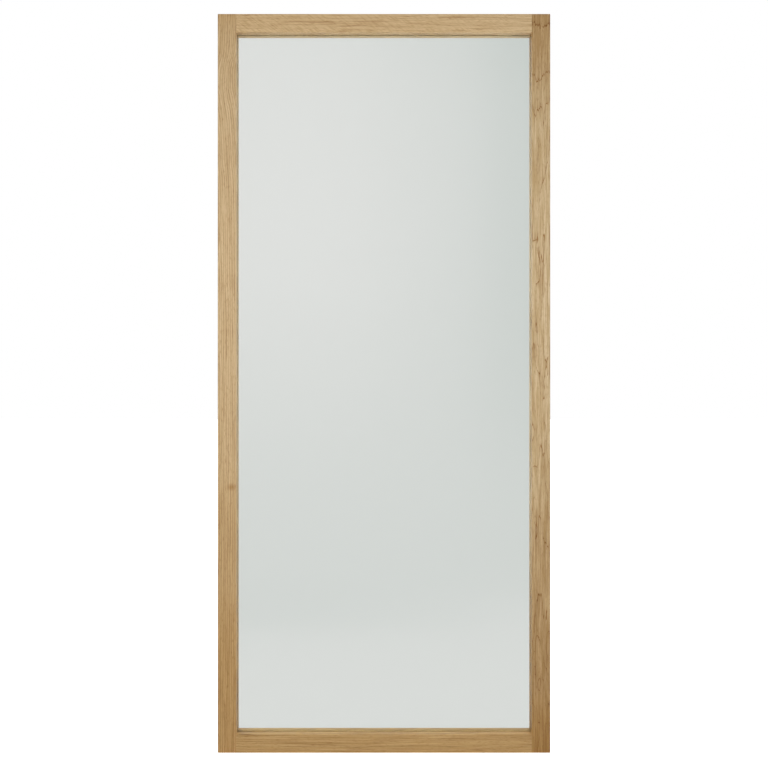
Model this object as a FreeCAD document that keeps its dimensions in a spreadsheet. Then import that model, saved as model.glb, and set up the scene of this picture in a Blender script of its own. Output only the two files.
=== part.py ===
import FreeCAD, Part

import math
import os

import Sketcher
from FreeCAD import Rotation, Vector

# A full-length wall mirror in a plain oak frame, in millimetres.
# The front faces -Y, +Z is up, the origin is at the middle of the frame's underside.

os.makedirs("parts", exist_ok=True)
doc = FreeCAD.newDocument("full_length_mirror")

# Driving sizes: name, value, meaning
SIZES = [
    ("frame_width", 900, "outside width of the frame"),
    ("frame_height", 2000, "outside height of the frame"),
    ("frame_depth", 35, "depth of the frame from front to back"),
    ("member_width", 50, "face width of the stiles and rails"),
    ("arris_radius", 1.5, "rounding of the edges that hands and eyes meet"),
    ("lip_depth", 21, "depth of the lip in front of the glass"),
    ("glass_overlap", 10, "how far the glass reaches behind the lip"),
    ("edge_clearance", 2, "room between the glass edge and the rebate"),
    ("ledge_width", 12, "width of the ledge that carries the back panel"),
    ("glass_thickness", 5, "thickness of the float glass"),
    ("glass_arris", 0.8, "ground bevel on the edges of the glass"),
    ("silver_thickness", 0.2, "silver layer with its backing paint"),
    ("film_thickness", 0.3, "splinter film behind the silver"),
    ("tape_thickness", 1.5, "foam tape, pressed"),
    ("tape_width", 8, "width of the foam tape"),
    ("panel_thickness", 4, "thickness of the back panel"),
    ("panel_clearance", 1, "room round the edge of the back panel"),
    ("dowel_diameter", 10, "corner dowel"),
    ("dowel_length", 60, "corner dowel, half in the stile and half in the rail"),
    ("dowel_bevel", 1, "bevel at both ends of a dowel"),
    ("dowel_fit", 0.05, "room round a dowel, on the radius"),
    ("dowel_end_room", 1, "room past each end of a dowel"),
    ("block_length", 60, "setting block under the glass"),
    ("spacer_length", 40, "spacer at the sides and top of the glass"),
    ("block_inset", 200, "middle of a block or spacer from the corner of the glass"),
    ("screw_diameter", 3.5, "wood screw, over the thread"),
    ("screw_head_diameter", 7, "wood screw, countersunk head"),
    ("screw_head_rim", 0.3, "upright rim of the screw head"),
    ("screw_length", 16, "wood screw, head included"),
    ("screw_tip", 3.5, "length of the screw's pointed end"),
    ("screw_fit", 0.05, "room round a screw, on the radius"),
    ("screw_end_room", 1, "room past the point of a screw"),
    ("recess_span", 3.6, "length of each arm pair of the cross recess"),
    ("recess_width", 0.9, "width of an arm of the cross recess"),
    ("recess_depth", 1.2, "depth of the cross recess"),
    ("stile_screws", 7, "screws along each upright edge of the panel"),
    ("rail_screws", 3, "screws along the upper and the lower edge of the panel"),
    ("stile_row_inset", 80, "first screw of an upright row from the corner of the panel"),
    ("rail_row_inset", 200, "first screw of a level row from the corner of the panel"),
    ("hanger_length", 60, "keyhole plate, overall"),
    ("hanger_width", 20, "keyhole plate, overall"),
    ("hanger_thickness", 2, "keyhole plate"),
    ("hanger_fit", 0.2, "room round a keyhole plate in its recess"),
    ("hanger_inset", 150, "middle of a keyhole plate from the end of its member"),
    ("hanger_screw_inset", 7, "screw hole from the end of the keyhole plate"),
    ("entry_radius", 5, "round entry of the keyhole"),
    ("slot_radius", 2.5, "half width of the keyhole's slot"),
    ("keyhole_travel", 12, "from the middle of the entry to the end of the slot"),
    ("pocket_radius", 6.5, "half width of the pocket for the wall screw's head"),
    ("pocket_depth", 8, "depth of that pocket behind the plate"),
    ("overrun", 2, "how far a cut runs past the wood"),
]

sheet = doc.addObject("Spreadsheet::Sheet", "sizes")
for row, (alias, value, meaning) in enumerate(SIZES, start=1):
    sheet.set(f"A{row}", meaning)
    sheet.set(f"B{row}", str(value))
    sheet.setAlias(f"B{row}", alias)
doc.recompute()

# Sizes that follow from the driving ones: name, expression, meaning
WORKED = [
    ("opening_width", "sizes.frame_width - 2 * sizes.member_width", "clear width inside the lip"),
    ("opening_height", "sizes.frame_height - 2 * sizes.member_width", "clear height inside the lip"),
    ("glass_rebate", "sizes.glass_overlap + sizes.edge_clearance", "width of the step for the glass"),
    ("panel_rebate", "worked.glass_rebate + sizes.ledge_width", "width of the step for the panel"),
    ("back_strip", "sizes.member_width - worked.panel_rebate", "back of a member beside the panel"),
    ("glass_width", "worked.opening_width + 2 * sizes.glass_overlap", "pane"),
    ("glass_height", "worked.opening_height + 2 * sizes.glass_overlap", "pane"),
    ("glass_low", "sizes.member_width - sizes.glass_overlap", "lower edge of the pane"),
    ("silver_front", "sizes.lip_depth + sizes.glass_thickness", "depth of the silver"),
    ("film_front", "worked.silver_front + sizes.silver_thickness", "depth of the film"),
    ("tape_front", "worked.film_front + sizes.film_thickness", "depth of the foam tape"),
    ("ledge_depth", "worked.tape_front + sizes.tape_thickness", "depth of the panel's ledge"),
    ("panel_back", "worked.ledge_depth + sizes.panel_thickness", "depth of the panel's back"),
    ("panel_reach", "worked.panel_rebate - sizes.panel_clearance", "panel past the opening"),
    ("panel_width", "worked.opening_width + 2 * worked.panel_reach", "back panel"),
    ("panel_height", "worked.opening_height + 2 * worked.panel_reach", "back panel"),
    ("panel_low", "sizes.member_width - worked.panel_reach", "lower edge of the panel"),
    ("screw_edge", "(worked.panel_reach - worked.glass_rebate) / 2", "screw from the panel's edge"),
    ("screw_across", "worked.panel_low + worked.screw_edge", "screw from the outside of a member"),
    ("screw_radius", "sizes.screw_diameter / 2", "wood screw"),
    ("head_radius", "sizes.screw_head_diameter / 2", "wood screw"),
    ("pilot_radius", "worked.screw_radius + sizes.screw_fit", "hole for a wood screw"),
    ("head_depth", "sizes.screw_head_rim + worked.head_radius - worked.screw_radius", "screw head"),
    ("countersink_radius", "worked.head_radius + sizes.screw_head_rim + sizes.screw_fit", "seat"),
    ("deep_dowel_across", "worked.back_strip / 2", "dowel in the full depth of a member"),
    ("deep_dowel_depth", "sizes.frame_depth / 2", "dowel in the full depth of a member"),
    ("lip_dowel_across", "(sizes.member_width + worked.back_strip) / 2", "dowel in the lip"),
    ("lip_dowel_depth", "sizes.lip_depth / 2", "dowel in the lip"),
    ("dowel_radius", "sizes.dowel_diameter / 2", "corner dowel"),
    ("dowel_hole_radius", "worked.dowel_radius + sizes.dowel_fit", "hole for a dowel"),
    ("dowel_hole_depth", "sizes.dowel_length / 2 + sizes.dowel_end_room", "hole for a dowel"),
    ("hanger_radius", "sizes.hanger_width / 2", "round end of a keyhole plate"),
    ("hanger_reach", "(sizes.hanger_length - sizes.hanger_width) / 2", "plate's middle to end centre"),
    ("hanger_across", "worked.back_strip / 2", "middle of a plate from the outside of a member"),
    ("coating_width", "worked.glass_width - 2 * sizes.glass_arris", "silver and film"),
    ("coating_height", "worked.glass_height - 2 * sizes.glass_arris", "silver and film"),
    ("tape_inset", "(sizes.glass_overlap - sizes.tape_width) / 2", "tape from the glass edge"),
    ("tape_low", "worked.glass_low + worked.tape_inset", "lower end of the foam tape"),
    ("tape_height", "worked.glass_height - 2 * worked.tape_inset", "upright foam tape"),
    ("tape_reach", "worked.opening_width / 2 + worked.tape_inset", "middle to upright foam tape"),
]

worked = doc.addObject("App::VarSet", "worked")
for name, expression, meaning in WORKED:
    worked.addProperty("App::PropertyFloat", name, "Worked", meaning)
    worked.setExpression(name, expression)
doc.recompute()

sub_parts = []

# A drawing is laid out at this size near the origin, until its dimensions put it in place
ROUGH_RADIUS = 1
ROUGH_SPOT = Vector(ROUGH_RADIUS, ROUGH_RADIUS, 0)
ROUGH_STEP = Vector(0, ROUGH_RADIUS, 0)
SKETCH_NORMAL = Vector(0, 0, 1)


def bind(sketch, kind, points, expression):
    """Add a dimension to a rough drawing as it stands and let an expression drive it."""
    if kind == "Radius":
        present = sketch.Geometry[points[0]].Radius
    else:
        gap = sketch.getPoint(*points[2:]) - sketch.getPoint(*points[:2])
        present = gap.x if kind == "DistanceX" else gap.y
    index = sketch.addConstraint(Sketcher.Constraint(kind, *points, present))
    sketch.setExpression(f"Constraints[{index}]", expression)


def hold(sketch, geometry, point, across, along):
    """Hold a point at two distances from the sketch's origin. None puts it on that axis."""
    if across is None:
        sketch.addConstraint(Sketcher.Constraint("PointOnObject", geometry, point, -2))
    else:
        bind(sketch, "DistanceX", (-1, 1, geometry, point), across)
    if along is None:
        sketch.addConstraint(Sketcher.Constraint("PointOnObject", geometry, point, -1))
    else:
        bind(sketch, "DistanceY", (-1, 1, geometry, point), along)


def draw_outline(sketch, corners):
    """Draw a closed outline of straight lines. Each corner is a pair of expressions or None."""
    count = len(corners)
    turns = [2 * math.pi * i / count for i in range(count)]
    spokes = [ROUGH_RADIUS * Vector(math.cos(t), math.sin(t), 0) for t in turns]
    rough = [ROUGH_SPOT + spoke for spoke in spokes]
    first = sketch.GeometryCount
    for i in range(count):
        sketch.addGeometry(Part.LineSegment(rough[i], rough[(i + 1) % count]))
    for i in range(count):
        follower = first + (i + 1) % count
        sketch.addConstraint(Sketcher.Constraint("Coincident", first + i, 2, follower, 1))
        hold(sketch, first + i, 1, *corners[i])


def draw_rectangle(sketch, left, low, right, high):
    """Draw an upright rectangle between four expressions, or None for one on an axis."""
    draw_outline(sketch, [(left, low), (right, low), (right, high), (left, high)])


def draw_circle(sketch, across, along, radius):
    """Draw a circle whose centre and radius follow three expressions."""
    circle = sketch.addGeometry(Part.Circle(ROUGH_SPOT, SKETCH_NORMAL, ROUGH_RADIUS))
    hold(sketch, circle, 3, across, along)
    bind(sketch, "Radius", (circle,), radius)


def draw_stadium(sketch, across, low, high, radius):
    """Draw an upright outline with round ends. low and high are its two end centres."""
    left, right = f"{across} - ({radius})", f"{across} + ({radius})"
    halves = []
    for spot, first_angle, height, start, end in (
        (ROUGH_SPOT, math.pi, low, left, right),
        (ROUGH_SPOT + ROUGH_STEP, 0, high, right, left),
    ):
        rough = Part.Circle(spot, SKETCH_NORMAL, ROUGH_RADIUS)
        half = Part.ArcOfCircle(rough, first_angle, first_angle + math.pi)
        arc = sketch.addGeometry(half)
        hold(sketch, arc, 1, start, height)
        hold(sketch, arc, 2, end, height)
        sketch.addConstraint(Sketcher.Constraint("Horizontal", arc, 1, arc, 3))
        halves.append(arc)
    for before, after in (halves, halves[::-1]):
        points = [sketch.getPoint(before, 2), sketch.getPoint(after, 1)]
        side = sketch.addGeometry(Part.LineSegment(*points))
        sketch.addConstraint(Sketcher.Constraint("Coincident", side, 1, before, 2))
        sketch.addConstraint(Sketcher.Constraint("Coincident", side, 2, after, 1))


def new_body(label):
    """Start a body under the name that its file will have."""
    body = doc.addObject("PartDesign::Body", label)
    body.Label = label
    return body


def new_sketch(body, name, role, offset=None):
    """Start a sketch on one of the body's own origin planes, moved along its normal."""
    sketch = body.newObject("Sketcher::SketchObject", name)
    plane = next(item for item in body.Origin.OriginFeatures if item.Role == role)
    sketch.AttachmentSupport = (plane, [""])
    sketch.MapMode = "FlatFace"
    if offset is not None:
        sketch.setExpression("AttachmentOffset.Base.z", offset)
    return sketch


def pad(body, name, sketch, length, backwards=False):
    """Raise a sketch into a solid."""
    feature = body.newObject("PartDesign::Pad", name)
    feature.Profile = sketch
    feature.Reversed = backwards
    feature.setExpression("Length", length)
    doc.recompute()
    return feature


def pocket(body, name, sketch, length, backwards=False):
    """Cut a sketch out of a solid, against its normal or backwards along it."""
    before = body.Shape.Volume
    feature = body.newObject("PartDesign::Pocket", name)
    feature.Profile = sketch
    feature.Reversed = backwards
    feature.setExpression("Length", length)
    doc.recompute()
    if not body.Shape.Volume < before:
        raise RuntimeError(f"{body.Label}: {name} cuts nothing")
    return feature


def row_of(body, name, feature, axis, length, count):
    """Repeat a cut in a straight row and make the row the body's last feature."""
    row = body.newObject("PartDesign::LinearPattern", name)
    row.Originals = [feature]
    row.Direction = (feature.Profile[0], [axis])
    row.setExpression("Length", length)
    row.setExpression("Occurrences", count)
    body.Tip = row
    doc.recompute()
    return row


def row_spots(first, span, count):
    """The places of a row's fasteners, as expressions, with the first and last at its ends."""
    gaps = int(getattr(sheet, count)) - 1
    return [f"{first} + {span} * {i} / {gaps}" for i in range(gaps + 1)]


def place(item, across, depth, height, axis=Vector(0, 1, 0), turn=0):
    """Put something in the mirror. Its depth counts from the front face of the frame."""
    item.Placement.Rotation = Rotation(axis, turn)
    item.setExpression("Placement.Base.x", across)
    item.setExpression("Placement.Base.y", f"{depth} - sizes.frame_depth / 2")
    item.setExpression("Placement.Base.z", height)
    return item


def copy_of(source, name):
    """A linked copy of a fastener, which keeps the fastener's sizes."""
    copy = doc.addObject("App::Link", name)
    copy.LinkedObject = source
    return copy


def make_box(name, across_size, depth_size, height_size):
    """A plain rectangular piece that follows three expressions."""
    box = doc.addObject("Part::Box", name)
    box.setExpression("Length", across_size)
    box.setExpression("Width", depth_size)
    box.setExpression("Height", height_size)
    return box


def finish(item, solids=1):
    """Note a sub-part and how many separate solids it has."""
    sub_parts.append((item, solids))


def finish_group(label, members):
    """Gather like pieces under one name, each still a solid of its own."""
    group = doc.addObject("Part::Compound", label)
    group.Label = label
    group.Links = members
    finish(group, len(members))


# The frame: four members, each drawn lying along its own Z, with X from its outer edge to its
# inner edge and Y from front to back. A quarter turn more for each puts them round the frame.


def member_blank(body, length, full_ends):
    """Saw a member to size and ease its outer arrises, at the ends too where they show."""
    section = new_sketch(body, "section", "XY_Plane")
    draw_rectangle(section, None, None, "sizes.member_width", "sizes.frame_depth")
    blank = pad(body, "blank", section, length)
    names = []
    for i, edge in enumerate(blank.Shape.Edges, start=1):
        box = edge.BoundBox
        meets_outside = box.XMin < sheet.arris_radius
        runs_along = box.ZLength > sheet.arris_radius
        if meets_outside and (runs_along or full_ends):
            names.append(f"Edge{i}")
    rounding = body.newObject("PartDesign::Fillet", "outer_arrises")
    rounding.Base = (blank, names)
    rounding.setExpression("Radius", "sizes.arris_radius")
    doc.recompute()


def inner_arris(body, start, length):
    """Round the front arris beside the glass, only as far as it is open."""
    profile = new_sketch(body, "round_over", "XY_Plane", start)
    edge, radius = "sizes.member_width", "sizes.arris_radius"
    rough = Part.Circle(ROUGH_SPOT, SKETCH_NORMAL, ROUGH_RADIUS)
    quarter = Part.ArcOfCircle(rough, 1.5 * math.pi, 2 * math.pi)
    foot, tip = quarter.StartPoint, quarter.EndPoint
    corner = Vector(tip.x, foot.y, 0)
    along_front = profile.addGeometry(Part.LineSegment(corner, foot))
    arc = profile.addGeometry(quarter)
    along_inside = profile.addGeometry(Part.LineSegment(tip, corner))
    round_trip = [along_front, arc, along_inside, along_front]
    for before, after in zip(round_trip, round_trip[1:]):
        profile.addConstraint(Sketcher.Constraint("Coincident", before, 2, after, 1))
    hold(profile, along_front, 1, edge, None)
    hold(profile, along_front, 2, f"{edge} - {radius}", None)
    hold(profile, along_inside, 1, edge, radius)
    profile.addConstraint(Sketcher.Constraint("Vertical", arc, 1, arc, 3))
    pocket(body, "inner_arris", profile, length, backwards=True)


def rebate(body, name, depth, width, low, high):
    """Plough a step into the inner edge, from a depth through to the back."""
    outline = new_sketch(body, f"{name}_outline", "XZ_Plane", f"-({depth})")
    past_edge = "sizes.member_width + sizes.overrun"
    draw_rectangle(outline, f"sizes.member_width - {width}", low, past_edge, high)
    pocket(body, name, outline, f"sizes.frame_depth - {depth} + sizes.overrun")


def pilot_row(body, length, count, first):
    """Drill the pilot holes for the panel's screws into the ledge, in one row."""
    start = new_sketch(body, "pilot_start", "XZ_Plane", "-worked.ledge_depth")
    draw_circle(start, "worked.screw_across", first, "worked.pilot_radius")
    depth = "sizes.screw_length - sizes.panel_thickness + sizes.screw_end_room"
    pilot = pocket(body, "pilot_hole", start, depth, backwards=True)
    row_of(body, "pilot_holes", pilot, "V_Axis", f"{length} - 2 * ({first})", count)


def hanger_seat(body, along):
    """Rout the flush seat of a keyhole plate, the pocket behind it and its two pilot holes."""
    seat = new_sketch(body, "seat_outline", "XZ_Plane", "-sizes.frame_depth")
    reach = "worked.hanger_reach"
    radius = "worked.hanger_radius + sizes.hanger_fit"
    draw_stadium(seat, "worked.hanger_across", f"{along} - {reach}", f"{along} + {reach}", radius)
    pocket(body, "hanger_seat", seat, "sizes.hanger_thickness", backwards=True)
    seat_depth = "-(sizes.frame_depth - sizes.hanger_thickness)"
    hollow = new_sketch(body, "pocket_outline", "XZ_Plane", seat_depth)
    half = "sizes.keyhole_travel / 2"
    middle, radius = "worked.hanger_across", "sizes.pocket_radius"
    draw_stadium(hollow, middle, f"{along} - {half}", f"{along} + {half}", radius)
    pocket(body, "head_pocket", hollow, "sizes.pocket_depth", backwards=True)
    holes = new_sketch(body, "seat_pilots", "XZ_Plane", seat_depth)
    spread = "(sizes.hanger_length / 2 - sizes.hanger_screw_inset)"
    for sign in ("-", "+"):
        draw_circle(holes, middle, f"{along} {sign} {spread}", "worked.pilot_radius")
    depth = "sizes.screw_length - sizes.hanger_thickness + sizes.screw_end_room"
    pocket(body, "seat_pilot_holes", holes, depth, backwards=True)


# A corner has one dowel in the full depth of the wood and one in the lip: across, depth
DOWEL_SPOTS = [
    ("worked.deep_dowel_across", "worked.deep_dowel_depth"),
    ("worked.lip_dowel_across", "worked.lip_dowel_depth"),
]


def make_stile(label, hanger_along):
    """A stile: rebates stopped short of its ends, dowel holes in its inner edge."""
    length = "sizes.frame_height"
    body = new_body(label)
    member_blank(body, length, full_ends=True)
    inner_arris(body, "sizes.member_width", "worked.opening_height")
    for name, depth, width in (
        ("glass_step", "sizes.lip_depth", "worked.glass_rebate"),
        ("panel_step", "worked.ledge_depth", "worked.panel_rebate"),
    ):
        stop = f"(sizes.member_width - {width})"
        rebate(body, name, depth, width, stop, f"{length} - {stop}")
    inner_edge = new_sketch(body, "dowel_outline", "YZ_Plane", "sizes.member_width")
    for across, depth in DOWEL_SPOTS:
        draw_circle(inner_edge, depth, across, "worked.dowel_hole_radius")
        draw_circle(inner_edge, depth, f"{length} - {across}", "worked.dowel_hole_radius")
    pocket(body, "dowel_holes", inner_edge, "worked.dowel_hole_depth")
    first = "(worked.panel_low + sizes.stile_row_inset)"
    pilot_row(body, length, "sizes.stile_screws", first)
    hanger_seat(body, hanger_along)
    return body


def make_rail(label, hanger_along):
    """A rail: rebates from end to end, dowel holes in both ends."""
    length = "worked.opening_width"
    body = new_body(label)
    member_blank(body, length, full_ends=False)
    inner_arris(body, None, length)
    for name, depth, width in (
        ("glass_step", "sizes.lip_depth", "worked.glass_rebate"),
        ("panel_step", "worked.ledge_depth", "worked.panel_rebate"),
    ):
        rebate(body, name, depth, width, "-sizes.overrun", f"{length} + sizes.overrun")
    for name, offset in (("near_dowel_holes", None), ("far_dowel_holes", length)):
        end = new_sketch(body, f"{name}_outline", "XY_Plane", offset)
        for across, depth in DOWEL_SPOTS:
            draw_circle(end, across, depth, "worked.dowel_hole_radius")
        pocket(body, name, end, "worked.dowel_hole_depth", backwards=offset is None)
    first = "(sizes.rail_row_inset - worked.panel_reach)"
    pilot_row(body, length, "sizes.rail_screws", first)
    hanger_seat(body, hanger_along)
    return body


left_stile = make_stile("left_stile", "(sizes.frame_height - sizes.hanger_inset)")
place(left_stile, "-sizes.frame_width / 2", "0", "0")
top_rail = make_rail("top_rail", "(worked.opening_width - sizes.hanger_inset)")
place(top_rail, "-worked.opening_width / 2", "0", "sizes.frame_height", turn=90)
right_stile = make_stile("right_stile", "sizes.hanger_inset")
place(right_stile, "sizes.frame_width / 2", "0", "sizes.frame_height", turn=180)
bottom_rail = make_rail("bottom_rail", "sizes.hanger_inset")
place(bottom_rail, "worked.opening_width / 2", "0", "0", turn=270)
for member in (left_stile, right_stile, top_rail, bottom_rail):
    finish(member)


# The corner dowels: beech, bevelled at both ends, half in the stile and half in the rail.


def make_dowel():
    """One dowel, standing on its own end."""
    body = new_body("corner_dowel")
    section = new_sketch(body, "section", "XY_Plane")
    draw_circle(section, None, None, "worked.dowel_radius")
    rod = pad(body, "rod", section, "sizes.dowel_length")
    bevel = body.newObject("PartDesign::Chamfer", "end_bevels")
    rims = [f"Edge{i}" for i, e in enumerate(rod.Shape.Edges, start=1) if e.isClosed()]
    bevel.Base = (rod, rims)
    bevel.setExpression("Size", "sizes.dowel_bevel")
    doc.recompute()
    return body


dowel = make_dowel()
for level in ("top", "bottom"):
    for side, sign in (("left", "-"), ("right", "")):
        joint = f"{sign}worked.opening_width / 2"
        pair = []
        for across, depth in DOWEL_SPOTS:
            height = across if level == "bottom" else f"sizes.frame_height - {across}"
            peg = copy_of(dowel, f"{level}_{side}_dowel")
            start = f"{joint} - sizes.dowel_length / 2"
            pair.append(place(peg, start, depth, height, turn=90))
        finish_group(f"{level}_{side}_dowels", pair)


# The pane: float glass with ground arrises, its silver with backing paint, and splinter film.


def make_glass():
    """The pane, with a small bevel ground on every long edge."""
    body = new_body("mirror_glass")
    outline = new_sketch(body, "outline", "XZ_Plane")
    draw_rectangle(outline, None, None, "worked.glass_width", "worked.glass_height")
    sheet_glass = pad(body, "float_glass", outline, "sizes.glass_thickness", backwards=True)
    ground = body.newObject("PartDesign::Chamfer", "ground_arrises")
    level_edges = [
        f"Edge{i}"
        for i, e in enumerate(sheet_glass.Shape.Edges, start=1)
        if e.BoundBox.YLength < sheet.glass_arris
    ]
    ground.Base = (sheet_glass, level_edges)
    ground.setExpression("Size", "sizes.glass_arris")
    doc.recompute()
    return body


glass = make_glass()
finish(place(glass, "-worked.glass_width / 2", "sizes.lip_depth", "worked.glass_low"))
for label, front, thickness in (
    ("silver_coating", "worked.silver_front", "sizes.silver_thickness"),
    ("safety_film", "worked.film_front", "sizes.film_thickness"),
):
    layer = make_box(label, "worked.coating_width", thickness, "worked.coating_height")
    low = "worked.glass_low + sizes.glass_arris"
    finish(place(layer, "-worked.coating_width / 2", front, low))


# What holds the pane in its rebate: blocks under it, spacers round it, foam tape behind it.


def padding(name, across_size, height_size, across, height):
    """A plastic piece as thick as the glass, in the gap beside it."""
    piece = make_box(name, across_size, "sizes.glass_thickness", height_size)
    return place(piece, across, "sizes.lip_depth", height)


block_middle = "(worked.glass_width / 2 - sizes.block_inset)"
blocks, top_spacers, side_spacers = [], [], []
for sign in ("-", "+"):
    start = f"{sign}{block_middle} - sizes.block_length / 2"
    low = "sizes.member_width - worked.glass_rebate"
    size = ("sizes.block_length", "sizes.edge_clearance")
    blocks.append(padding("setting_block", *size, start, low))
    start = f"{sign}{block_middle} - sizes.spacer_length / 2"
    size = ("sizes.spacer_length", "sizes.edge_clearance")
    high = "worked.glass_low + worked.glass_height"
    top_spacers.append(padding("top_spacer", *size, start, high))
for start in ("-worked.glass_width / 2 - sizes.edge_clearance", "worked.glass_width / 2"):
    for middle in ("sizes.block_inset", "worked.glass_height - sizes.block_inset"):
        low = f"worked.glass_low + {middle} - sizes.spacer_length / 2"
        size = ("sizes.edge_clearance", "sizes.spacer_length")
        side_spacers.append(padding("side_spacer", *size, start, low))
finish_group("glass_setting_blocks", blocks)
finish_group("glass_side_spacers", side_spacers)
finish_group("glass_top_spacers", top_spacers)


def tape_strip(name, across_size, height_size, across, height):
    """One strip of foam tape between the film and the back panel."""
    strip = make_box(name, across_size, "sizes.tape_thickness", height_size)
    return place(strip, across, "worked.tape_front", height)


strips = []
for start in ("-worked.tape_reach - sizes.tape_width", "worked.tape_reach"):
    size = ("sizes.tape_width", "worked.tape_height")
    strips.append(tape_strip("upright_tape", *size, start, "worked.tape_low"))
for low in ("worked.tape_low", "worked.tape_low + worked.tape_height - sizes.tape_width"):
    size = ("2 * worked.tape_reach", "sizes.tape_width")
    strips.append(tape_strip("level_tape", *size, "-worked.tape_reach", low))
finish_group("foam_tape", strips)


# The back panel: thin fibreboard with a countersunk hole for every screw.


def screw_holes(body, name, depth, spots):
    """Drill and countersink holes for the wood screws, from the back."""
    centres = new_sketch(body, f"{name}_centres", "XZ_Plane", f"-{depth}")
    for across, along in spots:
        draw_circle(centres, across, along, "worked.pilot_radius")
    doc.recompute()
    before = body.Shape.Volume
    hole = body.newObject("PartDesign::Hole", name)
    hole.Profile = centres
    hole.Reversed = True
    hole.DepthType = "ThroughAll"
    hole.HoleCutType = "Countersink"
    hole.setExpression("Diameter", "2 * worked.pilot_radius")
    hole.setExpression("HoleCutDiameter", "2 * worked.countersink_radius")
    doc.recompute()
    if not body.Shape.Volume < before:
        raise RuntimeError(f"{body.Label}: {name} cuts nothing")
    return hole


def make_panel():
    """The back panel, with a row of holes along each edge."""
    body = new_body("back_panel")
    outline = new_sketch(body, "outline", "XZ_Plane")
    draw_rectangle(outline, None, None, "worked.panel_width", "worked.panel_height")
    pad(body, "board", outline, "sizes.panel_thickness", backwards=True)
    edge = "worked.screw_edge"
    inset = "sizes.stile_row_inset"
    ends = [(edge, inset), (f"worked.panel_width - {edge}", inset)]
    upright = screw_holes(body, "upright_holes", "sizes.panel_thickness", ends)
    span = f"worked.panel_height - 2 * {inset}"
    row_of(body, "upright_rows", upright, "V_Axis", span, "sizes.stile_screws")
    inset = "sizes.rail_row_inset"
    ends = [(inset, edge), (inset, f"worked.panel_height - {edge}")]
    level = screw_holes(body, "level_holes", "sizes.panel_thickness", ends)
    span = f"worked.panel_width - 2 * {inset}"
    row_of(body, "level_rows", level, "H_Axis", span, "sizes.rail_screws")
    return body


panel = make_panel()
finish(place(panel, "-worked.panel_width / 2", "worked.ledge_depth", "worked.panel_low"))


# The screws: countersunk wood screws with a cross recess, alike in the panel and the plates.


def make_screw():
    """One screw, point down, with the top of its head at the origin."""
    body = new_body("wood_screw")
    half = new_sketch(body, "half_section", "XZ_Plane")
    outline = [
        (None, None),
        ("worked.head_radius", None),
        ("worked.head_radius", "-sizes.screw_head_rim"),
        ("worked.screw_radius", "-worked.head_depth"),
        ("worked.screw_radius", "sizes.screw_tip - sizes.screw_length"),
        (None, "-sizes.screw_length"),
    ]
    draw_outline(half, outline)
    turned = body.newObject("PartDesign::Revolution", "turned")
    turned.Profile = half
    turned.ReferenceAxis = (half, ["V_Axis"])
    doc.recompute()
    arm = new_sketch(body, "recess_arm", "XY_Plane")
    long, wide = "sizes.recess_span / 2", "sizes.recess_width / 2"
    draw_rectangle(arm, f"-{long}", f"-{wide}", long, wide)
    cut = pocket(body, "recess", arm, "sizes.recess_depth")
    cross = body.newObject("PartDesign::PolarPattern", "cross_recess")
    cross.Originals = [cut]
    cross.Axis = (arm, ["N_Axis"])
    cross.Angle = 90
    cross.Occurrences = 2
    body.Tip = cross
    doc.recompute()
    return body


def drive(name, across, depth, height):
    """A copy of the screw, driven from the back with its head at a depth."""
    return place(copy_of(screw, name), across, depth, height, Vector(1, 0, 0), -90)


screw = make_screw()
panel_screws = []
first = "worked.panel_low + sizes.stile_row_inset"
span = "(worked.panel_height - 2 * sizes.stile_row_inset)"
reach = "(worked.panel_width / 2 - worked.screw_edge)"
for height in row_spots(first, span, "stile_screws"):
    for sign in ("-", "+"):
        panel_screws.append(drive("panel_screw", f"{sign}{reach}", "worked.panel_back", height))
first = "sizes.rail_row_inset - worked.panel_width / 2"
span = "(worked.panel_width - 2 * sizes.rail_row_inset)"
low = "worked.panel_low + worked.screw_edge"
high = "worked.panel_low + worked.panel_height - worked.screw_edge"
for across in row_spots(first, span, "rail_screws"):
    for height in (low, high):
        panel_screws.append(drive("panel_screw", across, "worked.panel_back", height))
finish_group("back_panel_screws", panel_screws)


# The hangers: flush keyhole plates. A wall screw's head goes in at the round entry, and the
# mirror drops until the screw sits at the end of the slot.


def make_hanger(label):
    """One keyhole plate, standing up, with its front at Y zero and its slot above the entry."""
    body = new_body(label)
    middle, radius = "worked.hanger_radius", "worked.hanger_radius"
    outline = new_sketch(body, "outline", "XZ_Plane")
    draw_stadium(outline, middle, radius, f"sizes.hanger_length - {radius}", radius)
    pad(body, "plate", outline, "sizes.hanger_thickness", backwards=True)
    through = "sizes.hanger_thickness + sizes.overrun"
    low = "sizes.hanger_length / 2 - sizes.keyhole_travel / 2"
    high = "sizes.hanger_length / 2 + sizes.keyhole_travel / 2"
    entry = new_sketch(body, "entry_outline", "XZ_Plane")
    draw_circle(entry, middle, low, "sizes.entry_radius")
    pocket(body, "entry", entry, through)
    slot = new_sketch(body, "slot_outline", "XZ_Plane")
    draw_stadium(slot, middle, low, high, "sizes.slot_radius")
    pocket(body, "slot", slot, through)
    inset = "sizes.hanger_screw_inset"
    spots = [(middle, inset), (middle, f"sizes.hanger_length - {inset}")]
    screw_holes(body, "screw_holes", "sizes.hanger_thickness", spots)
    return body


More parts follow.
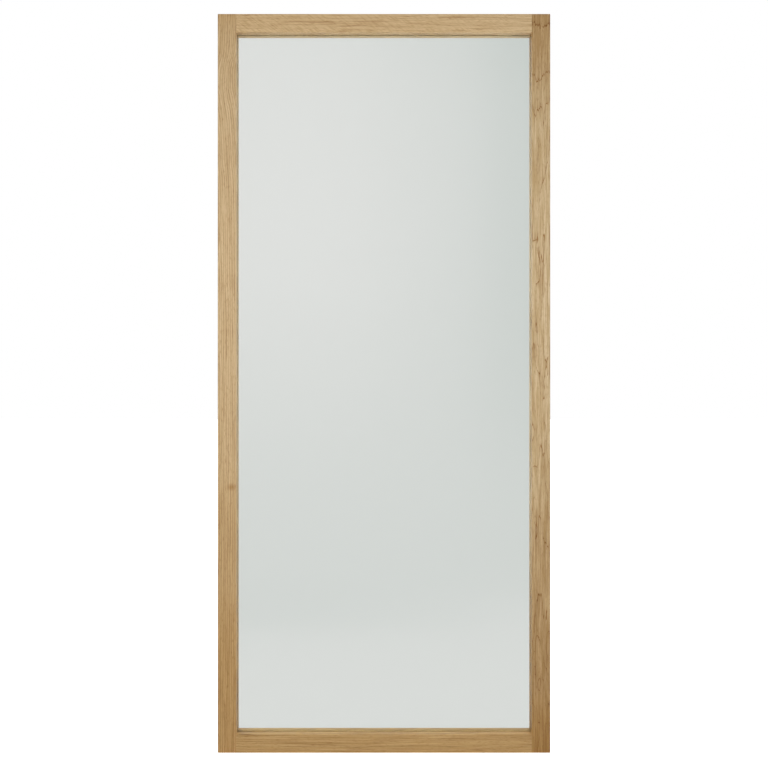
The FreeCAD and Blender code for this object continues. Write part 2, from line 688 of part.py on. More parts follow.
seat_depth = "sizes.frame_depth - sizes.hanger_thickness"
screw_reach = "(sizes.hanger_length / 2 - sizes.hanger_screw_inset)"
hanger_screws = []
height = "(sizes.frame_height - sizes.hanger_inset)"
for side, sign in (("left", "-"), ("right", "")):
    plate = make_hanger(f"{side}_stile_hanger")
    middle = f"{sign}(sizes.frame_width / 2 - worked.hanger_across)"
    low = f"{height} - sizes.hanger_length / 2"
    finish(place(plate, f"{middle} - worked.hanger_radius", seat_depth, low))
    for end in ("-", "+"):
        spot = f"{height} {end} {screw_reach}"
        hanger_screws.append(drive("hanger_screw", middle, "sizes.frame_depth", spot))
across = "(worked.opening_width / 2 - sizes.hanger_inset)"
for level, middle in (
    ("top", "sizes.frame_height - worked.hanger_across"),
    ("bottom", "worked.hanger_across"),
):
    plate = make_hanger(f"{level}_rail_hanger")
    start = f"{across} - sizes.hanger_length / 2"
    finish(place(plate, start, seat_depth, f"{middle} + worked.hanger_radius", turn=90))
    for end in ("-", "+"):
        spot = f"{across} {end} {screw_reach}"
        hanger_screws.append(drive("hanger_screw", spot, "sizes.frame_depth", middle))
finish_group("hanger_screws", hanger_screws)


# Check every feature, then write each sub-part to its own file.

doc.recompute()
faulty = [item.Label for item in doc.Objects if {"Invalid", "Error"} & set(item.State)]
if faulty:
    raise RuntimeError(f"these features failed: {', '.join(faulty)}")
for item, solids in sub_parts:
    shape = item.Shape
    if shape.isNull() or not shape.isValid() or len(shape.Solids) != solids:
        raise RuntimeError(f"{item.Label} isn't {solids} sound solids")
for item, solids in sub_parts:
    item.Shape.exportStep(f"parts/{item.Label}.step")
    print(f"{item.Label}: {solids} solids, {item.Shape.Volume:.0f} cubic mm")
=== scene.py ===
import math

import bpy
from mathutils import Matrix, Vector


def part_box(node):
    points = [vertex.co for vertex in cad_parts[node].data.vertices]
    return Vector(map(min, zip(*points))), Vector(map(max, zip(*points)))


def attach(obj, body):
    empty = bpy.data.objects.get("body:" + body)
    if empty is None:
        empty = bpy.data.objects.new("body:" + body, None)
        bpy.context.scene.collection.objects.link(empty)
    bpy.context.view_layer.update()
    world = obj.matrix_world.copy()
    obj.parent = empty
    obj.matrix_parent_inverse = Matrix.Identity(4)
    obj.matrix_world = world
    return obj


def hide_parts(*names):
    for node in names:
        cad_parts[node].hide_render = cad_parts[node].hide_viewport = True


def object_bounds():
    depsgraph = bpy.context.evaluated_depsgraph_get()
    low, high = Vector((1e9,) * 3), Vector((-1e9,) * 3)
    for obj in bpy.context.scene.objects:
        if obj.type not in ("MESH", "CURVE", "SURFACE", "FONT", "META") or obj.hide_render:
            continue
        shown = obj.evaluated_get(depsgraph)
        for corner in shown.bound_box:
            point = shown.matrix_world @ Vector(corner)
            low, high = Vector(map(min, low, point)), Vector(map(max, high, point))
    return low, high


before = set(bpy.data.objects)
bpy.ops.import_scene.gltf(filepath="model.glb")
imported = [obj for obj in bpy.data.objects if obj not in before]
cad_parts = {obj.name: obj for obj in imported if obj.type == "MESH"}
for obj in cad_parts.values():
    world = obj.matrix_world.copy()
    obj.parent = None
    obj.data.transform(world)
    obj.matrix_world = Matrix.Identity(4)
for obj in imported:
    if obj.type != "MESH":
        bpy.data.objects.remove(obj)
cad_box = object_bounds()


# The frame is four boards of European oak, planed to 50 by 35 mm, sanded and given a clear
# satin lacquer. Each is sawn from another place in the log, so each has its own figure: the
# rings, fibres and pores run through the solid wood and come out on faces, edges and ends.

MM_PER_METRE = 1000
STREAK_TINT = "#D8CAB2"
RING_TINT = "#BE9B69"
PORE_TINT = "#C4A983"
FLECK_TINT = "#CBB894"
KNOT_TINT = "#E0D0B4"
LACQUER_SHEEN = (0.4, 0.5)
LACQUER_IOR = 1.45
FLECK_SLANT = math.radians(-35)

# Sizes of the patterns in millimetres: across a board, behind its face and along it
WANDER_SIZE = (20, 20, 150)
WANDER_REACH = 7
RING_EDGE_SIZE = (4, 4, 60)
FADED_RING_SIZE = (6, 6, 90)
STREAK_WIDTH = 4
BAND_SIZE = (16, 16, 260)
PORE_SIZE = (0.9, 0.9, 14)
PORE_ROW_SIZE = (1.8, 1.8, 150)
FLECK_SIZE = (2.5, 2.5, 32)
KNOT_SIZE = (16, 30, 12)
PORE_DEPTH = 0.1

# Shares that the figure's parts have in its tone
BAND_SHARE = 0.5
YEAR_SHARE = 0.3
TONE_SHARE = 0.65
PORE_ROW_SHARE = 0.6

STANDING = 0
LYING = -math.pi / 2
STILE_RUN = [MM_PER_METRE * corner.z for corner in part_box("left_stile")]
RAIL_RUN = [MM_PER_METRE * corner.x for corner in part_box("top_rail")]

# The tone through one ring, and two curves along a board, each a reach with points of its share
CROWN_RING = [(0, 0.7), (0.012, 0), (0.6, 0), (0.88, 0.08), (0.965, 0.25), (0.985, 1), (1, 1)]
RIFT_RING = [(0, 0.5), (0.1, 0.05), (0.5, 0.1), (0.75, 0.6), (0.92, 1), (1, 0.5)]
EVEN = ((0, 1), [(0, 1), (1, 1)])
NONE = ((0, 1), [(0, 0), (1, 0)])


def linear(code):
    """Turn an sRGB colour in hex into the linear colour that a shader takes."""
    channels = [int(code[start : start + 2], 16) / 255 for start in (1, 3, 5)]
    return [c / 12.92 if c <= 0.04045 else ((c + 0.055) / 1.055) ** 2.4 for c in channels] + [1]


def add_node(tree, kind, inputs=None, out=0, points=None, **settings):
    """Add a node with its settings, curve points, values and links, and return one output."""
    node = tree.nodes.new("ShaderNode" + kind)
    for setting, value in settings.items():
        setattr(node, setting, value)
    for place, value in (inputs or {}).items():
        if isinstance(value, bpy.types.NodeSocket):
            tree.links.new(value, node.inputs[place])
        else:
            node.inputs[place].default_value = value
    if points:
        curve = node.mapping.curves[0]
        curve.points[0].location = points[0]
        curve.points[1].location = points[-1]
        for place, height in points[1:-1]:
            curve.points.new(place, height)
        node.mapping.update()
    return node.outputs[out] if node.outputs else node


def start_material(name):
    """A new material with an empty node tree, and a place on the piece in millimetres."""
    material = bpy.data.materials.new(name)
    material.use_nodes = True
    tree = material.node_tree
    tree.nodes.clear()
    metres = add_node(tree, "TexCoord", out="Object")
    place = add_node(
        tree, "VectorMath", {0: metres, "Scale": MM_PER_METRE}, operation="SCALE"
    )
    return material, tree, place


def finish_material(tree, **surface):
    """Close a material with one shader, whose inputs are named with underscores for blanks."""
    inputs = {name.replace("_", " "): value for name, value in surface.items()}
    shader = add_node(tree, "BsdfPrincipled", inputs)
    add_node(tree, "OutputMaterial", {"Surface": shader})


def blend(tree, first, shades, how="MIX"):
    """Lay shades over a first colour, each by its own amount, or stain it with them."""
    colour = linear(first) if isinstance(first, str) else first
    for shade, amount in shades:
        inputs = {"Factor": amount, "A": colour, "B": linear(shade)}
        settings = {"data_type": "RGBA", "blend_type": how}
        colour = add_node(tree, "Mix", inputs, out="Result", **settings)
    return colour


def patches(tree, place, size, low=0.0, high=1.0, detail=2, out="Fac"):
    """Soft patches of a size in millimetres each way, stretched from low to high."""
    scaled = add_node(
        tree, "Mapping", {"Vector": place, "Scale": [1 / length for length in size]}
    )
    noise = add_node(
        tree, "TexNoise", {"Vector": scaled, "Scale": 1, "Detail": detail}, out=out
    )
    if out == "Color":
        return noise
    return add_node(tree, "MapRange", {"Value": noise, "From Min": low, "From Max": high})


def give(material, *names):
    """Put a material on CAD nodes in place of the one they came with."""
    for name in names:
        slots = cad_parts[name].data.materials
        slots.clear()
        slots.append(material)


def oak(
    name,
    turn,
    middle,
    run,
    pale,
    warm,
    pith,
    spacing,
    ring_shade,
    rings,
    spread,
    sway,
    shade_and_tone,
    flecks,
    ragged,
    fibre,
    bold,
    knot=None,
):
    """One board's lacquered oak, in the board's own frame: across, behind the face, along.

    pale and warm are its two ground colours. Where they differ, the pale one is partly painted
    sheen and light and the warm one partly painted shade. pith is where the heart of the tree
    passes, across and behind the face, spacing is from ring to ring and ring_shade the tone
    through one ring. The next five are curves along the board: the rings gained as the heart
    comes nearer, how far the rings fan out, the sideways sway of the grain, the share of the
    warm colour, which is painted shade and tone, and the ray flecks. ragged is how far a ring's
    edge strays, in rings, fibre the length of the streaks, bold the strength of the figure, and
    knot the place of a pin knot, across and along.
    """
    material, tree, place = start_material(name)
    face = MM_PER_METRE * cad_box[0][1]
    board = add_node(
        tree,
        "Mapping",
        {"Vector": place, "Rotation": (0, turn, 0), "Location": (-middle, -face, 0)},
    )
    along = add_node(tree, "SeparateXYZ", {"Vector": board}, out="Z")
    share = add_node(
        tree, "MapRange", {"Value": along, "From Min": run[0], "From Max": run[1]}
    )
    drawn = {}
    for key, (reach, points) in {
        "rings": rings, "spread": spread, "sway": sway, "shade_and_tone": shade_and_tone, "flecks": flecks
    }.items():
        curve = add_node(tree, "FloatCurve", {"Value": share}, points=points)
        inputs = {"Value": curve, "To Min": reach[0], "To Max": reach[1]}
        drawn[key] = add_node(tree, "MapRange", inputs)

    # The grain sways with the tree, and wanders a few millimetres on the way
    wander = patches(tree, board, WANDER_SIZE, detail=1, out="Color")
    wander = add_node(tree, "VectorMath", {0: wander, 1: (0.5,) * 3}, operation="SUBTRACT")
    wander = add_node(tree, "VectorMath", {0: wander, "Scale": WANDER_REACH}, operation="SCALE")
    drift = add_node(tree, "CombineXYZ", {"X": drawn["sway"]})
    grain = add_node(tree, "VectorMath", {0: board, 1: wander}, operation="ADD")
    grain = add_node(tree, "VectorMath", {0: grain, 1: drift}, operation="ADD")

    # Growth rings are tubes round the heart. Each starts dark and porous and fades to pale
    heart = (pith[0], pith[1], 0)
    outward = add_node(tree, "VectorMath", {0: grain, 1: heart}, operation="SUBTRACT")
    outward = add_node(tree, "VectorMath", {0: outward, 1: (1, 1, 0)}, operation="MULTIPLY")
    radius = add_node(tree, "VectorMath", {0: outward}, out="Value", operation="LENGTH")
    radius = add_node(tree, "Math", {0: radius, 1: math.hypot(*pith)}, operation="SUBTRACT")
    ring = add_node(tree, "Math", {0: radius, 1: spacing}, operation="DIVIDE")
    ring = add_node(
        tree, "Math", {0: ring, 1: drawn["spread"], 2: drawn["rings"]}, operation="MULTIPLY_ADD"
    )
    edge = patches(tree, board, RING_EDGE_SIZE, low=0.3, high=0.7)
    ring = add_node(tree, "Math", {0: edge, 1: ragged, 2: ring}, operation="MULTIPLY_ADD")
    ring_share = add_node(tree, "Math", {0: ring}, operation="FRACT")
    spring_wood = add_node(tree, "FloatCurve", {"Value": ring_share}, points=ring_shade)
    faded = patches(tree, grain, FADED_RING_SIZE, low=0.2, high=0.5)
    spring_wood = add_node(tree, "Math", {0: spring_wood, 1: faded}, operation="MULTIPLY")
    spring_wood = add_node(tree, "Math", {0: spring_wood, 1: bold}, operation="MULTIPLY")
    year = add_node(tree, "Math", {0: ring}, operation="FLOOR")
    year = add_node(tree, "TexWhiteNoise", {"W": year}, noise_dimensions="1D")

    # Fibres run in streaks, tone shifts in broad bands, and pores are short dark scratches.
    # Some pores line up in rows, drawn at several times their quarter-millimetre width
    fibre_size = (STREAK_WIDTH, STREAK_WIDTH, fibre)
    streaks = patches(tree, grain, fibre_size, low=0.36, high=0.64, detail=3)
    bands = patches(tree, grain, BAND_SIZE, low=0.3, high=0.7, detail=1)
    pores = patches(tree, grain, PORE_SIZE, low=0.56, high=0.76)
    rows = patches(tree, grain, PORE_ROW_SIZE, low=0.54, high=0.74, detail=1)
    rows = add_node(tree, "Math", {0: rows, 1: PORE_ROW_SHARE}, operation="MULTIPLY")
    tone = add_node(
        tree, "Math", {0: bands, 1: BAND_SHARE, 2: streaks}, operation="MULTIPLY_ADD"
    )
    tone = add_node(tree, "Math", {0: year, 1: YEAR_SHARE, 2: tone}, operation="MULTIPLY_ADD")
    tone = add_node(tree, "Math", {0: tone, 1: TONE_SHARE * bold}, operation="MULTIPLY")

    # Ray flecks cross the grain at a slant where the face runs near to the rays
    slant = add_node(tree, "Mapping", {"Vector": board, "Rotation": (0, FLECK_SLANT, 0)})
    fleck = patches(tree, slant, FLECK_SIZE, low=0.5, high=0.66, detail=0)
    fleck = add_node(tree, "Math", {0: fleck, 1: drawn["flecks"]}, operation="MULTIPLY")

    # Open grain stays a little low under the thin lacquer, which is smooth and softly bright
    relief = add_node(tree, "Math", {0: pores, 1: spring_wood}, operation="ADD")
    depth = PORE_DEPTH / MM_PER_METRE
    relief = add_node(
        tree, "Bump", {"Height": relief, "Strength": 0.5, "Distance": depth}, invert=True
    )
    # Painted light: the ground shifts by the curve along the board between the pale colour, partly
    # painted sheen and light, and the warm one, partly painted shade
    ground = blend(tree, pale, [(warm, drawn["shade_and_tone"])])
    figure = [
        (STREAK_TINT, tone),
        (RING_TINT, spring_wood),
        (PORE_TINT, pores),
        (PORE_TINT, rows),
        (FLECK_TINT, fleck),
    ]
    if knot:
        off_knot = add_node(
            tree,
            "Mapping",
            {
                "Vector": board,
                "Location": (-knot[0] / KNOT_SIZE[0], 0, -knot[1] / KNOT_SIZE[2]),
                "Scale": [1 / radius for radius in KNOT_SIZE],
            },
        )
        spot = add_node(tree, "VectorMath", {0: off_knot}, out="Value", operation="LENGTH")
        spot = add_node(tree, "MapRange", {"Value": spot, "From Min": 1, "From Max": 0.2})
        figure.append((KNOT_TINT, spot))
    sheen = {"Value": streaks, "To Min": LACQUER_SHEEN[0], "To Max": LACQUER_SHEEN[1]}
    finish_material(
        tree,
        Base_Color=blend(tree, ground, figure, how="MULTIPLY"),
        Roughness=add_node(tree, "MapRange", sheen),
        IOR=LACQUER_IOR,
        Normal=relief,
    )
    return material


left_stile_oak = oak(
    "lacquered_rift_oak_left",
    STANDING,
    middle=-425,
    run=STILE_RUN,
    pale="#D9C097",
    warm="#C39F67",
    pith=(-150, 60),
    spacing=5.4,
    ring_shade=RIFT_RING,
    rings=NONE,
    spread=EVEN,
    sway=(
        (-20, 20),
        [
            (0, 0.2),
            (0.74, 0.16),
            (0.8, 0.3),
            (0.86, 0.5),
            (0.89, 0.72),
            (0.908, 0.8),
            (0.93, 0.72),
            (0.955, 0.5),
            (1, 0.42),
        ],
    ),
    # Painted shade: more of the warm ground at the foot and near the top, least in the lit middle,
    # where the pale ground carries a painted sheen
    shade_and_tone=(
        (0, 1),
        [
            (0, 1),
            (0.08, 0.98),
            (0.17, 0.84),
            (0.25, 0.54),
            (0.33, 0.45),
            (0.41, 0.12),
            (0.55, 0.02),
            (0.88, 0),
            (1, 0.75),
        ],
    ),
    flecks=NONE,
    ragged=0.05,
    fibre=240,
    bold=0.5,
    knot=(12, 719),
)
right_stile_rings = [
    (0, 0.09),
    (0.064, 0),
    (0.212, 0.25),
    (0.325, 0.5),
    (0.407, 0.75),
    (0.625, 0.98),
    (0.75, 0.925),
    (0.854, 0.75),
    (0.908, 0.5),
    (0.98, 0.25),
    (1, 0.18),
]
right_stile_oak = oak(
    "lacquered_crown_oak_right",
    STANDING,
    middle=425,
    run=STILE_RUN,
    pale="#DEC9A4",
    warm="#B48D51",
    pith=(-4, 137),
    spacing=2.5,
    ring_shade=CROWN_RING,
    rings=((0, 4), right_stile_rings),
    spread=(
        (0, 3),
        [
            (0, 0.8),
            (0.12, 0.7),
            (0.17, 0.4),
            (0.206, 0.1),
            (0.35, 0.27),
            (0.7, 0.25),
            (0.865, 0.2),
            (0.9, 0.08),
            (0.93, 0.03),
            (1, 0.015),
        ],
    ),
    sway=NONE,
    # Painted shade: more of the warm ground at the foot and near the top, least in the lit middle,
    # where the pale ground carries a painted sheen
    shade_and_tone=(
        (0, 1),
        [
            (0, 1),
            (0.04, 0.95),
            (0.09, 0.75),
            (0.17, 0.64),
            (0.25, 0.5),
            (0.33, 0.28),
            (0.4, 0.04),
            (0.85, 0),
            (0.93, 0.5),
            (1, 0.7),
        ],
    ),
    flecks=NONE,
    ragged=0.12,
    fibre=90,
    bold=1.1,
)
top_rail_oak = oak(
    "lacquered_quartered_oak_top",
    LYING,
    middle=-1975,
    run=RAIL_RUN,
    # Painted sheen: this ground is paler and less saturated than the bottom rail's by a whitish
    # sheen painted into it
    pale="#DABF94",
    warm="#D6B98C",
    pith=(40, 190),
    spacing=3.6,
    ring_shade=RIFT_RING,
    rings=NONE,
    spread=EVEN,
    sway=((-12, 12), [(0, 0.5), (0.5, 0.6), (1, 0.4)]),
    shade_and_tone=((0, 1), [(0, 1), (0.5, 0.8), (1, 0)]),
    flecks=((0, 0.38), [(0, 1), (0.6, 0.7), (1, 0.2)]),
    ragged=0.05,
    fibre=160,
    bold=0.22,
)
bottom_rail_oak = oak(
    "lacquered_rift_oak_bottom",
    LYING,
    middle=-25,
    run=RAIL_RUN,
    pale="#CAAA73",
    warm="#CAAA73",
    pith=(-140, 40),
    spacing=3.4,
    ring_shade=RIFT_RING,
    rings=NONE,
    spread=EVEN,
    sway=((-12, 12), [(0, 0.5), (0.5, 0.45), (1, 0.55)]),
    shade_and_tone=NONE,
    flecks=NONE,
    ragged=0.05,
    fibre=200,
    bold=0.65,
)
give(left_stile_oak, "left_stile")
give(right_stile_oak, "right_stile")
give(top_rail_oak, "top_rail")
give(bottom_rail_oak, "bottom_rail")


# Eight dowels of turned beech are glued across the corners, two to a corner, and hold the
# rails to the stiles. Beech is even, pinkish and plain, with small darker ray flecks.

beech, tree, place = start_material("turned_beech")
beech_fibres = patches(tree, place, (60, 1.5, 1.5), low=0.3, high=0.7, detail=3)
beech_flecks = patches(tree, place, (3, 0.8, 0.8), low=0.6, high=0.7)
finish_material(
    tree,
    Base_Color=blend(tree, "#DDBB94", [("#CBA176", beech_fibres), ("#A87B50", beech_flecks)]),
    Roughness=add_node(tree, "MapRange", {"Value": beech_fibres, "To Min": 0.6, "To Max": 0.7}),
)
give(beech, *(f"{end}_{side}_dowels" for end in ("top", "bottom") for side in ("left", "right")))


# The pane is 5 mm float glass, cut to size with its arrises ground off by hand. Its two faces
# are fire-polished and clear with a faint green, and its edges are left grey from the stone.

GROUND_ARRIS = 0.8 / MM_PER_METRE
GAP_TO_SILVER = 0.02 / MM_PER_METRE
GLASS_IOR = 1.52
FLAT_FACE = 0.99
FINE_RELIEF = 0.1 / MM_PER_METRE

low_corner, high_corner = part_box("mirror_glass")
glass_size = high_corner - low_corner - Vector((0, 2 * GAP_TO_SILVER, 0))
bpy.ops.object.select_all(action="DESELECT")
bpy.ops.mesh.primitive_cube_add(size=1, location=(low_corner + high_corner) / 2)
pane = bpy.context.object
pane.name = "glass_pane"
pane.scale = glass_size
bpy.ops.object.transform_apply(location=True, rotation=True, scale=True)
bpy.ops.object.mode_set(mode="EDIT")
bpy.ops.mesh.select_all(action="SELECT")
bpy.ops.mesh.bevel(offset=GROUND_ARRIS, segments=2, affect="EDGES")
bpy.ops.object.mode_set(mode="OBJECT")

clear_glass, tree, place = start_material("clear_float_glass")
finish_material(
    tree, Base_Color=linear("#FDFFFE"), Roughness=0, IOR=GLASS_IOR, Transmission_Weight=1
)
ground_glass, tree, place = start_material("stone_ground_glass")
scratches = patches(tree, place, (0.6, 0.6, 0.6), low=0.3, high=0.7, detail=3)
finish_material(
    tree,
    Base_Color=linear("#DDEBE3"),
    Roughness=add_node(tree, "MapRange", {"Value": scratches, "To Min": 0.35, "To Max": 0.6}),
    IOR=GLASS_IOR,
    Transmission_Weight=1,
    Normal=add_node(tree, "Bump", {"Height": scratches, "Strength": 0.4, "Distance": FINE_RELIEF}),
)

# Light reaches the wood through clear glass, so the pane holds none of it back
pane.visible_shadow = False
pane.visible_diffuse = False
pane.data.materials.append(clear_glass)
pane.data.materials.append(ground_glass)
for polygon in pane.data.polygons:
    polygon.material_index = 0 if abs(polygon.normal.y) > FLAT_FACE else 1
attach(pane, "root")
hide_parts("mirror_glass")


# Silver is floated on the rear of the glass, then copper and two coats of grey backing paint.
# A milky splinter film with a fine emboss is rolled on behind, to hold the glass if it breaks.

silver, tree, place = start_material("silver_and_backing_paint")
normal = add_node(tree, "TexCoord", out="Normal")
facing = add_node(tree, "SeparateXYZ", {"Vector": normal}, out="Y")
rear = add_node(tree, "Math", {0: facing, 1: -0.5}, operation="GREATER_THAN")
finish_material(
    tree,
    Base_Color=blend(tree, "#F3F5F3", [("#7E8284", rear)]),
    Metallic=add_node(tree, "Math", {0: 1, 1: rear}, operation="SUBTRACT"),
    Roughness=add_node(tree, "Math", {0: rear, 1: 0.6}, operation="MULTIPLY"),
)
give(silver, "silver_coating")

film, tree, place = start_material("embossed_polyethylene_film")
diamonds = add_node(tree, "Mapping", {"Vector": place, "Rotation": (0, math.pi / 4, 0)})
emboss = add_node(tree, "TexVoronoi", {"Vector": diamonds, "Scale": 1 / 1.6, "Randomness": 0})
finish_material(
    tree,
    Base_Color=blend(tree, "#D9DEE2", [("#C8CFD4", emboss)]),
    Roughness=add_node(tree, "MapRange", {"Value": emboss, "To Min": 0.35, "To Max": 0.55}),
    Normal=add_node(tree, "Bump", {"Height": emboss, "Strength": 0.5, "Distance": FINE_RELIEF}),
)
give(film, "safety_film")


# Black polypropylene blocks carry the pane and keep it off the wood at the sides and the top.
# They are moulded with a fine spark grain, drawn a little coarser here so that it shows.

block_plastic, tree, place = start_material("moulded_black_polypropylene")
spark_grain = patches(tree, place, (0.5, 0.5, 0.5), low=0.3, high=0.7)
finish_material(
    tree,
    Base_Color=blend(tree, "#232426", [("#303134", spark_grain)]),
    Roughness=add_node(tree, "MapRange", {"Value": spark_grain, "To Min": 0.5, "To Max": 0.65}),
    Normal=add_node(tree, "Bump", {"Height": spark_grain, "Strength": 0.4, "Distance": FINE_RELIEF}),
)
give(block_plastic, "glass_setting_blocks", "glass_side_spacers", "glass_top_spacers")


# Strips of closed-cell foam tape lie round the rear of the pane and press it on the lip of the
# frame. Cut cells pit the surface, drawn at twice their half-millimetre size.

COARSE_RELIEF = 0.3 / MM_PER_METRE

foam, tree, place = start_material("closed_cell_foam")
cells = add_node(tree, "TexVoronoi", {"Vector": place, "Scale": 1})
finish_material(
    tree,
    Base_Color=blend(tree, "#1E1F21", [("#3A3B3E", cells)]),
    Roughness=0.9,
    Normal=add_node(tree, "Bump", {"Height": cells, "Strength": 0.8, "Distance": COARSE_RELIEF}),
)
give(foam, "foam_tape")


# The back is a 4 mm sheet of hard fibreboard, hot-pressed on a wire screen that leaves a fine
# mesh in its rough side. It lies in the rebate and is held by countersunk screws.

fibreboard, tree, place = start_material("hard_fibreboard")
fibres = patches(tree, place, (7, 3, 2), low=0.3, high=0.7, detail=5)
crossing = patches(tree, place, (2, 3, 7), low=0.4, high=0.75, detail=4)
clouds = patches(tree, place, (120, 120, 160), low=0.3, high=0.7, detail=3)
screen = add_node(tree, "TexVoronoi", {"Vector": place, "Scale": 1 / 2, "Randomness": 0})
relief = add_node(tree, "Math", {0: fibres, 1: screen}, operation="ADD")
finish_material(
    tree,
    Base_Color=blend(
        tree,
        "#8C6A48",
        [("#6E5135", fibres), ("#9C7B58", crossing), ("#7A5B3E", clouds), ("#634830", screen)],
    ),
    Roughness=add_node(tree, "MapRange", {"Value": fibres, "To Min": 0.7, "To Max": 0.85}),
    Normal=add_node(tree, "Bump", {"Height": relief, "Strength": 0.6, "Distance": COARSE_RELIEF}),
)
give(fibreboard, "back_panel")


# The screws and the four keyhole plates are zinc-plated mild steel, dull blue-white with a
# faint spangle. The screws are countersunk with a cross recess, and the plates lie flush.

zinc, tree, place = start_material("zinc_plated_steel")
spangle = add_node(tree, "TexVoronoi", {"Vector": place, "Scale": 1 / 3}, out="Color")
spangle = add_node(tree, "SeparateXYZ", {"Vector": spangle}, out="X")
rubbing = patches(tree, place, (1.2, 1.2, 1.2), low=0.3, high=0.7, detail=3)
finish_material(
    tree,
    Base_Color=blend(tree, "#C9CDD0", [("#B3B8BD", spangle), ("#D5D6D3", rubbing)]),
    Metallic=1,
    Roughness=add_node(tree, "MapRange", {"Value": spangle, "To Min": 0.3, "To Max": 0.42}),
    Normal=add_node(tree, "Bump", {"Height": rubbing, "Strength": 0.2, "Distance": FINE_RELIEF / 2}),
)
give(zinc, "back_panel_screws", "hanger_screws")
give(zinc, "left_stile_hanger", "right_stile_hanger", "top_rail_hanger", "bottom_rail_hanger")


# The mirror stands on a white floor in a pale room, of which the pane shows two soft walls.
# Three soft lamps in front light the wood, the left one stronger, and show in no gloss. The
# camera looks level from a little above the middle, with its lens shifted down.

CAMERA_DISTANCE = 2.62
CAMERA_HEIGHT = 1.06
VIEW_HALF_WIDTH = 1.0390
VIEW_MIDDLE = 0.9984
LAMP_AIM = Vector((0, 0, 1.25))
LAMP_WIDTH = 0.6
LAMP_HEIGHT = 0.8
ROOM_LIGHT = 0.5
FLOOR_LIFT = 0.91
SEEN_UPWARD = (-0.561, 0.514)
SEEN_SIDEWAYS = (-0.151, 0.151)
THROWN_BACK = (1, 14)
STEEP_LOSS = -0.5

world = bpy.data.worlds.new("pale_room")
bpy.context.scene.world = world
world.use_nodes = True
tree = world.node_tree
tree.nodes.clear()
direction = add_node(tree, "TexCoord", out="Generated")
rightward = add_node(tree, "SeparateXYZ", {"Vector": direction}, out="X")
upward = add_node(tree, "SeparateXYZ", {"Vector": direction}, out="Z")
height_seen = {"Value": upward, "From Min": SEEN_UPWARD[0], "From Max": SEEN_UPWARD[1]}
height_share = add_node(tree, "MapRange", height_seen)
side_seen = {"Value": rightward, "From Min": SEEN_SIDEWAYS[0], "From Max": SEEN_SIDEWAYS[1]}
side_share = add_node(tree, "MapRange", side_seen)

# How pale each wall is from the foot of what the pane shows to its top, and the way between
left_wall = [
    (0, 0.67),
    (0.24, 0.66),
    (0.27, 0.58),
    (0.293, 0.43),
    (0.335, 0.47),
    (0.4, 0.53),
    (0.475, 0.66),
    (0.55, 0.79),
    (0.63, 0.9),
    (0.76, 0.88),
    (0.83, 0.8),
    (1, 0.7),
]
right_wall = [
    (0, 0.62),
    (0.24, 0.63),
    (0.27, 0.6),
    (0.293, 0.53),
    (0.335, 0.36),
    (0.4, 0.35),
    (0.475, 0.28),
    (0.55, 0.24),
    (0.74, 0.21),
    (0.83, 0.03),
    (1, 0),
]
inward = [(0, 0), (0.3, 0.04), (0.55, 0.25), (0.75, 0.5), (0.9, 0.84), (1, 1)]
left_share = add_node(tree, "FloatCurve", {"Value": height_share}, points=left_wall)
right_share = add_node(tree, "FloatCurve", {"Value": height_share}, points=right_wall)
side_share = add_node(tree, "FloatCurve", {"Value": side_share}, points=inward)
shade_share = add_node(
    tree, "Mix", {"Factor": side_share, "A": left_share, "B": right_share}, out="Result"
)
room = blend(tree, "#D3D5D4", [("#F0ECED", shade_share)])
ray_kinds = {
    kind: add_node(tree, "LightPath", out=f"Is {kind} Ray")
    for kind in ("Camera", "Glossy", "Transmission")
}
reflected = add_node(
    tree, "Math", {0: ray_kinds["Glossy"], 1: ray_kinds["Transmission"]}, operation="MAXIMUM"
)

# The renderer finds little of the lamps' light that the pane throws back on the sides of its
# opening, so the room gives it instead: more from the sides and from above
scattered = add_node(tree, "LightPath", out="Diffuse Depth")
scattered = add_node(tree, "Math", {0: scattered, 1: 0.5}, operation="GREATER_THAN")
sideways = add_node(tree, "Math", {0: rightward}, operation="ABSOLUTE")
steep = add_node(tree, "Math", {0: upward}, operation="ABSOLUTE")
sideways = add_node(
    tree, "Math", {0: steep, 1: STEEP_LOSS, 2: sideways}, operation="MULTIPLY_ADD"
)
from_edge = add_node(tree, "Math", {0: sideways, 1: upward}, operation="MAXIMUM")
strength = {"Value": from_edge, "To Min": THROWN_BACK[0], "To Max": THROWN_BACK[1]}
thrown = add_node(tree, "MapRange", strength)
thrown_back = add_node(tree, "MapRange", {"Value": scattered, "To Min": 1, "To Max": thrown})
even_light = add_node(tree, "Background", {"Color": linear("#FFFFFF"), "Strength": ROOM_LIGHT})
seen_in_gloss = add_node(tree, "Background", {"Color": room, "Strength": thrown_back})
white_ground = add_node(tree, "Background", {"Color": linear("#FFFFFF"), "Strength": 1})
around = add_node(tree, "MixShader", {0: reflected, 1: even_light, 2: seen_in_gloss})
around = add_node(tree, "MixShader", {0: ray_kinds["Camera"], 1: around, 2: white_ground})
add_node(tree, "OutputWorld", {"Surface": around})

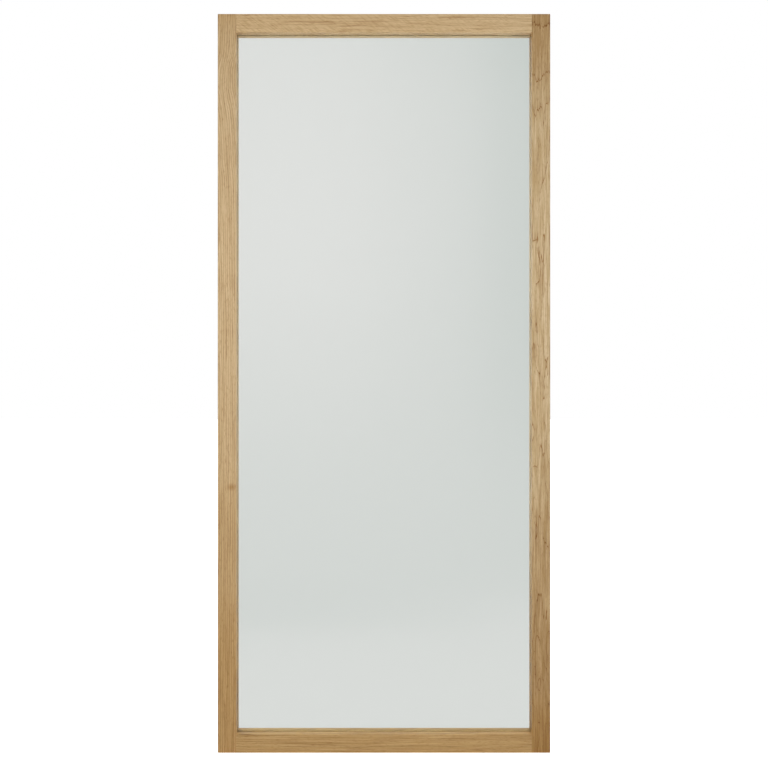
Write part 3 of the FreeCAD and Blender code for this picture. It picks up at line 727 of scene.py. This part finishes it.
bpy.ops.object.select_all(action="DESELECT")
bpy.ops.mesh.primitive_plane_add(size=30)
floor = bpy.context.object
floor.name = "floor"
floor.visible_glossy = False
floor.visible_transmission = False
white_floor, tree, place = start_material("white_floor")
paint = add_node(tree, "BsdfDiffuse", {"Color": linear("#F0F0F0")})
camera_ray = add_node(tree, "LightPath", out="Is Camera Ray")
brightening = add_node(tree, "Math", {0: camera_ray, 1: FLOOR_LIFT}, operation="MULTIPLY")
lift = add_node(tree, "Emission", {"Color": linear("#FFFFFF"), "Strength": brightening})
surface = add_node(tree, "AddShader", {0: paint, 1: lift})
add_node(tree, "OutputMaterial", {"Surface": surface})
floor.data.materials.append(white_floor)

# The lamps leave out the pane, so that neither its faces nor its ground edges show them
unseen_in = bpy.data.collections.new("pane_shows_no_lamps")
unseen_in.objects.link(pane)
unseen_in.collection_objects[0].light_linking.link_state = "EXCLUDE"

for name, spot, power in (
    ("left_soft_box", Vector((-1.1, -2, 1.4)), 9),
    ("right_soft_box", Vector((1.1, -2, 1.4)), 6),
    ("front_fill", Vector((0, -1.6, 1.2)), 6),
):
    turn = (LAMP_AIM - spot).to_track_quat("-Z", "Y").to_euler()
    bpy.ops.object.light_add(type="AREA", location=spot, rotation=turn)
    lamp = bpy.context.object
    lamp.name = name
    lamp.data.shape = "RECTANGLE"
    lamp.data.size = LAMP_WIDTH
    lamp.data.size_y = LAMP_HEIGHT
    lamp.data.energy = power
    lamp.visible_camera = False
    lamp.visible_glossy = False
    lamp.light_linking.receiver_collection = unseen_in

bpy.ops.object.camera_add(
    location=(0, cad_box[0][1] - CAMERA_DISTANCE, CAMERA_HEIGHT),
    rotation=(math.pi / 2, 0, 0),
)
camera = bpy.context.object
camera.name = "camera"
camera.data.sensor_fit = "HORIZONTAL"
camera.data.angle = 2 * math.atan(VIEW_HALF_WIDTH / CAMERA_DISTANCE)
camera.data.shift_y = (VIEW_MIDDLE - CAMERA_HEIGHT) / (2 * VIEW_HALF_WIDTH)
bpy.context.scene.camera = camera
bpy.context.scene.view_settings.view_transform = "Standard"
